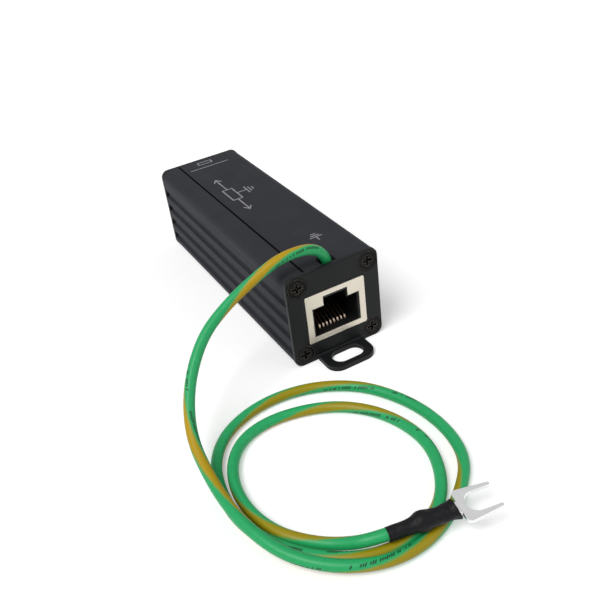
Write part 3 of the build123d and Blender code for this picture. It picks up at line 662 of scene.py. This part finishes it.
board = {
    "lane": 1.27,  # mm from track to track
    "trackShare": 0.4,  # of a lane
    "trackBlur": 0.04,  # of a lane
    "stretch": 6.0,  # mm that a track runs before chance decides again
    "bare": 0.35,  # of the stretches have no track
    "pinSpacing": 3.5,
    "firstRow": -11.0,
    "rowSpacing": 6.2,
    "rows": 4,
    "pad": 1.7,
    "padBlur": 0.05,
}


def solderMask(look):
    # solder mask over etched copper: deep glossy green, paler over the tracks and tinned round the pins
    material = grainedMaterial("solderMask", ("#0c3f22", "#124a28"), cloud=3.846, grain=0.6667, depth=0.02,
                               Roughness=0.3, IOR=1.55)
    tree = material.node_tree
    place = objectPlace(tree)
    # tracks run lengthwise in lanes; each stretch of a lane is there or not by the chance of its two numbers
    lane = addNode(tree, "ShaderNodeMath", {0: place["X"], 1: look["lane"] * mm}, operation="DIVIDE")
    number = addNode(tree, "ShaderNodeMath", {0: lane.outputs[0]}, operation="ROUND")
    off = addNode(tree, "ShaderNodeMath", {0: lane.outputs[0], 1: number.outputs[0]}, operation="SUBTRACT")
    away = addNode(tree, "ShaderNodeMath", {0: off.outputs[0]}, operation="ABSOLUTE")
    trackHalf = look["trackShare"] / 2
    onLane = addNode(tree, "ShaderNodeMapRange", {
        "Value": away.outputs[0], "From Min": trackHalf + look["trackBlur"], "From Max": trackHalf})
    along = addNode(tree, "ShaderNodeMath", {0: place["Y"], 1: look["stretch"] * mm}, operation="DIVIDE")
    part = addNode(tree, "ShaderNodeMath", {0: along.outputs[0]}, operation="FLOOR")
    pair = addNode(tree, "ShaderNodeCombineXYZ", {"X": number.outputs[0], "Y": part.outputs[0]})
    chance = addNode(tree, "ShaderNodeTexWhiteNoise", {
        "Vector": pair.outputs["Vector"]}, noise_dimensions="2D")
    there = addNode(tree, "ShaderNodeMath", {
        0: chance.outputs["Value"], 1: look["bare"]}, operation="GREATER_THAN")
    track = addNode(tree, "ShaderNodeMath", {
        0: onLane.outputs["Result"], 1: there.outputs[0]}, operation="MULTIPLY")
    overlay(material, track.outputs[0], "#1d7a43")
    # pads: rings of solder round the pins of the gas tubes, by the distance from the nearest of their rows
    across = addNode(tree, "ShaderNodeMath", {
        0: place["X"], 1: look["pinSpacing"] * mm}, operation="PINGPONG")
    shifted = addNode(tree, "ShaderNodeMath", {0: place["Y"], 1: look["firstRow"] * mm}, operation="SUBTRACT")
    down = addNode(tree, "ShaderNodeMath", {
        0: shifted.outputs[0], 1: look["rowSpacing"] / 2 * mm}, operation="PINGPONG")
    nearest = addNode(tree, "ShaderNodeCombineXYZ", {"X": across.outputs[0], "Y": down.outputs[0]})
    distance = addNode(tree, "ShaderNodeVectorMath", {0: nearest.outputs["Vector"]}, operation="LENGTH")
    padHalf = look["pad"] / 2
    ring = addNode(tree, "ShaderNodeMapRange", {
        "Value": distance.outputs["Value"], "From Min": padHalf * mm,
        "From Max": (padHalf - look["padBlur"]) * mm})
    # only as far as there are rows
    toMiddle = look["rowSpacing"] * (look["rows"] - 1) / 2
    middle = addNode(tree, "ShaderNodeMath", {0: shifted.outputs[0], 1: toMiddle * mm}, operation="SUBTRACT")
    far = addNode(tree, "ShaderNodeMath", {0: middle.outputs[0]}, operation="ABSOLUTE")
    among = addNode(tree, "ShaderNodeMath", {
        0: far.outputs[0], 1: look["rowSpacing"] * look["rows"] / 2 * mm}, operation="LESS_THAN")
    pad = addNode(tree, "ShaderNodeMath", {
        0: ring.outputs["Result"], 1: among.outputs[0]}, operation="MULTIPLY")
    return overlay(material, pad.outputs[0], "#c4c4c0", Metallic=1.0, Roughness=0.35)


dress(solderMask(board), "circuit_board")


# where the small parts change their finish, and out to where the contacts are darkened with painted shade, in
# mm from the object's middle, or up from the floor for a "To"
contacts = {"shadeReach": 35.6, "tinnedTo": 5.4}
resistors = {"middle": 2.1, "ends": (0.65, 1.1)}
gasTubes = {"caps": (3.0, 4.1), "ring": 0.5, "pinsTo": 5.65}
diodes = {"middle": 3.7, "shoulders": (1.2, 1.7), "bandMiddle": 5.15, "band": 0.28}
noGap = -0.1  # the low of a band that has no gap at its middle

# moulded PBT: matt black plastic
mouldedPbt = grainedMaterial("mouldedPbt", ("#09090a", "#111112"), cloud=5, grain=0.5, depth=0.03,
                             Roughness=0.5, IOR=1.57, Specular_IOR_Level=0.35)
roundEdges(mouldedPbt, reach=0.1, colour="#1c1c1e", wearAndGlint=0.4, Roughness=0.45)
dress(mouldedPbt, "front_jack_insulator", "rear_jack_insulator")
# gold-plated phosphor bronze: small warm glints at the sprung tips, painted shade behind them, tinned tails
contactMetal = grainedMaterial("goldPlatedBronze", ("#ccb29c", "#e6d0bd"), cloud=1.111, grain=0.25,
                               depth=0.005, Metallic=1.0, Roughness=0.3)
# painted shade: the contacts are darkened deeper in the socket, from the middle out to the given reach
bandOn(contactMetal, "Y", 0, 0, contacts["shadeReach"], "#524439", Roughness=0.5)
finishBelow(contactMetal, contacts["tinnedTo"], "#cfcecb")
dress(contactMetal, "front_jack_contacts", "rear_jack_contacts")
# polyester film: pale and slightly cloudy, its cut edges lightened by a painted highlight
polyesterFilm = grainedMaterial("polyesterFilm", ("#cfcdbd", "#dedccd"), cloud=5, grain=0.8333, depth=0.01,
                                Roughness=0.35, IOR=1.6)
dress(roundEdges(polyesterFilm, reach=0.1, colour="#efeee6", wearAndGlint=0.5), "insulating_film")
# glazed thick-film ceramic: small black tops between tinned ends
glazedCeramic = grainedMaterial("glazedCeramic", ("#101010", "#1d1d1d"), cloud=1.667, grain=0.4, depth=0.01,
                                Roughness=0.25, IOR=1.6)
bandOn(glazedCeramic, "X", resistors["middle"], *resistors["ends"], "#cbcbc8", Metallic=1.0, Roughness=0.35)
dress(glazedCeramic, "chip_resistors")
# white alumina between tinned electrodes: a cap at each end, a ring in the middle and three pins
alumina = grainedMaterial("alumina", ("#d9d5cb", "#e8e5dd"), cloud=2, grain=0.4, depth=0.02, Roughness=0.35,
                          IOR=1.76)
bandOn(alumina, "X", 0, *gasTubes["caps"], "#c9c8c4", Metallic=1.0, Roughness=0.3)
bandOn(alumina, "X", 0, noGap, gasTubes["ring"], "#c9c8c4", Metallic=1.0, Roughness=0.3)
finishBelow(alumina, gasTubes["pinsTo"], "#c9c8c4", Metallic=1.0, Roughness=0.3)
dress(alumina, "gas_tube_1", "gas_tube_2", "gas_tube_3", "gas_tube_4")
# moulded epoxy: dark grey with a fine matt grain and a pale band at the outer end
mouldedEpoxy = grainedMaterial("mouldedEpoxy", ("#151516", "#222223"), cloud=1.667, grain=0.25, depth=0.02,
                               Roughness=0.55, IOR=1.55)
bandOn(mouldedEpoxy, "X", diodes["middle"], *diodes["shoulders"], "#232324")
bandOn(mouldedEpoxy, "X", diodes["bandMiddle"], noGap, diodes["band"], "#a9a9a6")
roundEdges(mouldedEpoxy, reach=0.15, colour="#3a3a3b", wearAndGlint=0.5)
dress(mouldedEpoxy, "clamp_diode_1", "clamp_diode_2", "clamp_diode_3", "clamp_diode_4")
# tinned copper: white metal, slightly uneven
tinnedCopper = grainedMaterial("tinnedCopper", ("#c2c1bd", "#dddcd9"), cloud=1.111, grain=0.3333, depth=0.02,
                               Metallic=1.0, Roughness=0.25)
roundEdges(tinnedCopper, reach=0.05, colour="#ecebe8", wearAndGlint=0.6)
dress(tinnedCopper, "clamp_diode_leads", "earth_lead_core", "crimped_strands")
# tin-plated brass: bright and smooth, with faint press marks; its edges are lightened, partly burnished and
# partly a painted highlight
tinPlatedBrass = grainedMaterial("tinPlatedBrass", ("#ebebed", "#fafafa"), cloud=2.5, grain=0.4545,
                                 depth=0.015, Metallic=1.0, Roughness=0.32)
dress(roundEdges(tinPlatedBrass, reach=0.12, colour="#ffffff", wearAndGlint=0.5, Roughness=0.2), "fork_terminal")
print("finishes")


# Jack shields

jackShield = {
    "face": 38.7,  # mm from the middle of the case to the back of the front sheet
    "opening": (6.25, 14.45, 3.35, 16.85),  # half width, shoulder, half width of the notch, its top
    "sideGrow": 0.25,
    "shoulderRise": 0.45,
    "notchRise": 0.55,
    "near": 0.02,  # mm within which a point counts as on the edge
    "weld": 0.001,  # mm within which the CAD's points are joined
}


def makeShield(look, name, node, material):
    # the folded sheet as the CAD has it, with its opening a little larger: in the front sheet, the points on
    # the opening's sides move away from the middle, and those on its shoulders and its notch's top move up
    work = bmesh.new()
    work.from_mesh(nodes[node].data)
    bmesh.ops.remove_doubles(work, verts=work.verts, dist=look["weld"] * mm)
    mesh = bpy.data.meshes.new(name)
    work.to_mesh(mesh)
    work.free()
    points = np.empty(len(mesh.vertices) * 3)
    mesh.vertices.foreach_get("co", points)
    points = points.reshape(-1, 3)
    faces = np.empty(len(mesh.polygons) * 3, int)
    mesh.polygons.foreach_get("vertices", faces)
    bpy.data.meshes.remove(mesh)
    halfWidth, shoulder, halfNotch, notchTop = [v * mm for v in look["opening"]]
    inFace = np.abs(points[:, 1]) > look["face"] * mm
    across, height = np.abs(points[:, 0]), points[:, 2]
    near = look["near"] * mm
    atSide = inFace & (np.abs(across - halfWidth) < near) & (height < shoulder + near)
    atShoulder = inFace & (np.abs(height - shoulder) < near) & (across < halfWidth + near)
    atTop = inFace & (np.abs(height - notchTop) < near) & (across < halfNotch + near)
    points[atSide, 0] += np.sign(points[atSide, 0]) * look["sideGrow"] * mm
    points[atShoulder, 2] += look["shoulderRise"] * mm
    points[atTop, 2] += look["notchRise"] * mm
    piece = newPiece(name, points, faces.reshape(-1, 3), material, smooth=False)
    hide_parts(node)


# nickel-plated brass sheet: warm pale silver with a satin reflection, its folded edges lightened, partly worn
# and partly a painted highlight
nickel = grainedMaterial("nickelPlatedBrass", ("#d2cabb", "#e2dacb"), cloud=3.333, grain=0.4, depth=0.01,
                         Metallic=1.0, Roughness=0.35)
roundEdges(nickel, reach=0.2, colour="#f4ede0", wearAndGlint=0.6, Roughness=0.28)
makeShield(jackShield, "frontShield", "front_jack_shield", nickel)
makeShield(jackShield, "rearShield", "rear_jack_shield", nickel)
print("jack shields")


# Printed signs

topPrint = {
    "height": 25.0,
    "lift": 0.012,
    "step": 0.004,  # strokes that meet differ in height, so that no two faces lie in one place
    "heights": 5,
    "width": 0.34,
    # a line with an arrowhead at each end and a box in its middle, an earth sign beside it,
    # a socket's outline with a bar at the rear end, and an earth sign beside the lead
    "strokes": [
        ((-2.2, 21.5), (-2.2, 13.6)), ((-2.2, 6.4), (-2.2, -1.0)),
        ((-2.2, 21.5), (-3.2, 19.9)), ((-2.2, 21.5), (-1.2, 19.9)),
        ((-2.2, -1.0), (-3.2, 0.6)), ((-2.2, -1.0), (-1.2, 0.6)),
        ((-3.6, 13.6), (-0.8, 13.6)), ((-0.8, 13.6), (-0.8, 6.4)),
        ((-0.8, 6.4), (-3.6, 6.4)), ((-3.6, 6.4), (-3.6, 13.6)),
        ((-0.8, 10.0), (2.2, 10.0)), ((2.2, 8.0), (2.2, 12.0)),
        ((3.1, 8.7), (3.1, 11.3)), ((4.0, 9.4), (4.0, 10.6)),
        ((-1.6, 36.2), (2.6, 36.2)), ((2.6, 36.2), (2.6, 34.6)),
        ((2.6, 34.6), (-1.6, 34.6)), ((-1.6, 34.6), (-1.6, 36.2)),
        ((-5.2, 32.2), (6.6, 32.2)),
        ((2.1, -25.7), (5.1, -25.7)), ((2.6, -24.9), (4.6, -24.9)),
        ((3.1, -24.1), (4.1, -24.1)), ((3.6, -25.7), (3.6, -27.3)),
    ],
}


def makePrint(look):
    # each stroke is a flat block: its two ends are carried on and sideways by half the width, and its top is
    # the lift above the case, plus a step times its number's remainder by the count of heights
    ends = np.array(look["strokes"], float)
    run = ends[:, 1] - ends[:, 0]
    run /= np.linalg.norm(run, axis=1)[:, None]
    side = np.stack([-run[:, 1], run[:, 0]], axis=1) * look["width"] / 2
    start, stop = ends[:, 0] - run * look["width"] / 2, ends[:, 1] + run * look["width"] / 2
    flat = np.stack([start - side, stop - side, stop + side, start + side], axis=1)
    low = np.full(flat.shape[:2] + (1,), look["height"])
    lift = look["lift"] + look["step"] * (np.arange(len(ends)) % look["heights"])
    high = low + lift[:, None, None]
    points = np.concatenate([np.dstack([flat, low]), np.dstack([flat, high])], axis=1) * mm
    block = np.array([[3, 2, 1, 0], [4, 5, 6, 7], [0, 1, 5, 4], [1, 2, 6, 5], [2, 3, 7, 6], [3, 0, 4, 7]])
    faces = (8 * np.arange(len(ends)))[:, None, None] + block[None]
    # screen-printed ink: thin, matt and a little broken, so the black shows through
    ink = grainedMaterial("screenInk", ("#6c6c74", "#b4b4bc"), cloud=0.6667, grain=0.3333, depth=0.01,
                          Roughness=0.6, IOR=1.5)
    newPiece("topSigns", points.reshape(-1, 3), faces.reshape(-1, 4), ink, smooth=False)


makePrint(topPrint)
print("printed signs")


# Floor, light and air

studio = {
    "floorSize": 3.0,  # metres
    "floorGlow": 0.34,  # what the floor adds of its own for the camera and in reflections
    "aim": (-0.01, -0.03, 0.01),  # where both lamps point, in metres
    "key": {"place": (-1.3, -0.6, 2.1), "size": 1.3, "power": 44.0},
    "fill": {"place": (1.6, -1.4, 1.3), "size": 1.8, "power": 7.0},
    "world": 0.27,  # what the air gives to surfaces
    "worldReflected": 0.66,  # what shines back in them
}


def floorMaterial(look):
    # matt white paper: white where the camera looks straight at it, with the object's soft shadow on it
    material, tree, shader = newMaterial("whitePaper", Roughness=0.9, Base_Color=hexColour("#f0f0f0"),
                                         Emission_Color=(1.0, 1.0, 1.0, 1.0))
    rays = addNode(tree, "ShaderNodeLightPath")
    seen = addNode(tree, "ShaderNodeMath", {
        0: rays.outputs["Is Camera Ray"], 1: rays.outputs["Is Glossy Ray"]}, operation="MAXIMUM")
    lift = addNode(tree, "ShaderNodeMath", {0: seen.outputs[0], 1: look["floorGlow"]}, operation="MULTIPLY")
    tree.links.new(lift.outputs[0], shader.inputs["Emission Strength"])
    return material


def areaLight(name, look, aim):
    # a square soft box that faces the aim
    data = bpy.data.lights.new(name, "AREA")
    data.shape = "SQUARE"
    data.size = look["size"]
    data.energy = look["power"]
    lamp = bpy.data.objects.new(name, data)
    bpy.context.scene.collection.objects.link(lamp)
    place = np.array(look["place"])
    out = place - np.array(aim)
    out /= np.linalg.norm(out)
    side = np.cross([0, 0, 1], out)
    side /= np.linalg.norm(side)
    turn = np.eye(4)
    turn[:3, 0], turn[:3, 1], turn[:3, 2], turn[:3, 3] = side, np.cross(out, side), out, place
    lamp.matrix_world = Matrix(turn.tolist())


def makeStudio(look):
    half = look["floorSize"] / 2
    corners = np.array([[-half, -half, 0], [half, -half, 0], [half, half, 0], [-half, half, 0]])
    mesh = bpy.data.meshes.new("floor")
    mesh.from_pydata(corners.tolist(), [], [[0, 1, 2, 3]])
    mesh.materials.append(floorMaterial(look))
    floor = bpy.data.objects.new("floor", mesh)
    bpy.context.scene.collection.objects.link(floor)
    areaLight("key", look["key"], look["aim"])
    areaLight("fill", look["fill"], look["aim"])
    world = bpy.data.worlds.new("studio")
    bpy.context.scene.world = world
    world.use_nodes = True
    tree = world.node_tree
    background = tree.nodes["Background"]
    background.inputs["Color"].default_value = (1.0, 1.0, 1.0, 1.0)
    rays = addNode(tree, "ShaderNodeLightPath")
    mirrored = addNode(tree, "ShaderNodeMapRange", {
        "Value": rays.outputs["Is Glossy Ray"], "To Min": look["world"], "To Max": look["worldReflected"]})
    seen = addNode(tree, "ShaderNodeMapRange", {
        "Value": rays.outputs["Is Camera Ray"], "To Min": mirrored.outputs["Result"], "To Max": 1.0})
    tree.links.new(seen.outputs["Result"], background.inputs["Strength"])


makeStudio(studio)
bpy.context.scene.view_settings.view_transform = "Standard"
print("floor and lights")
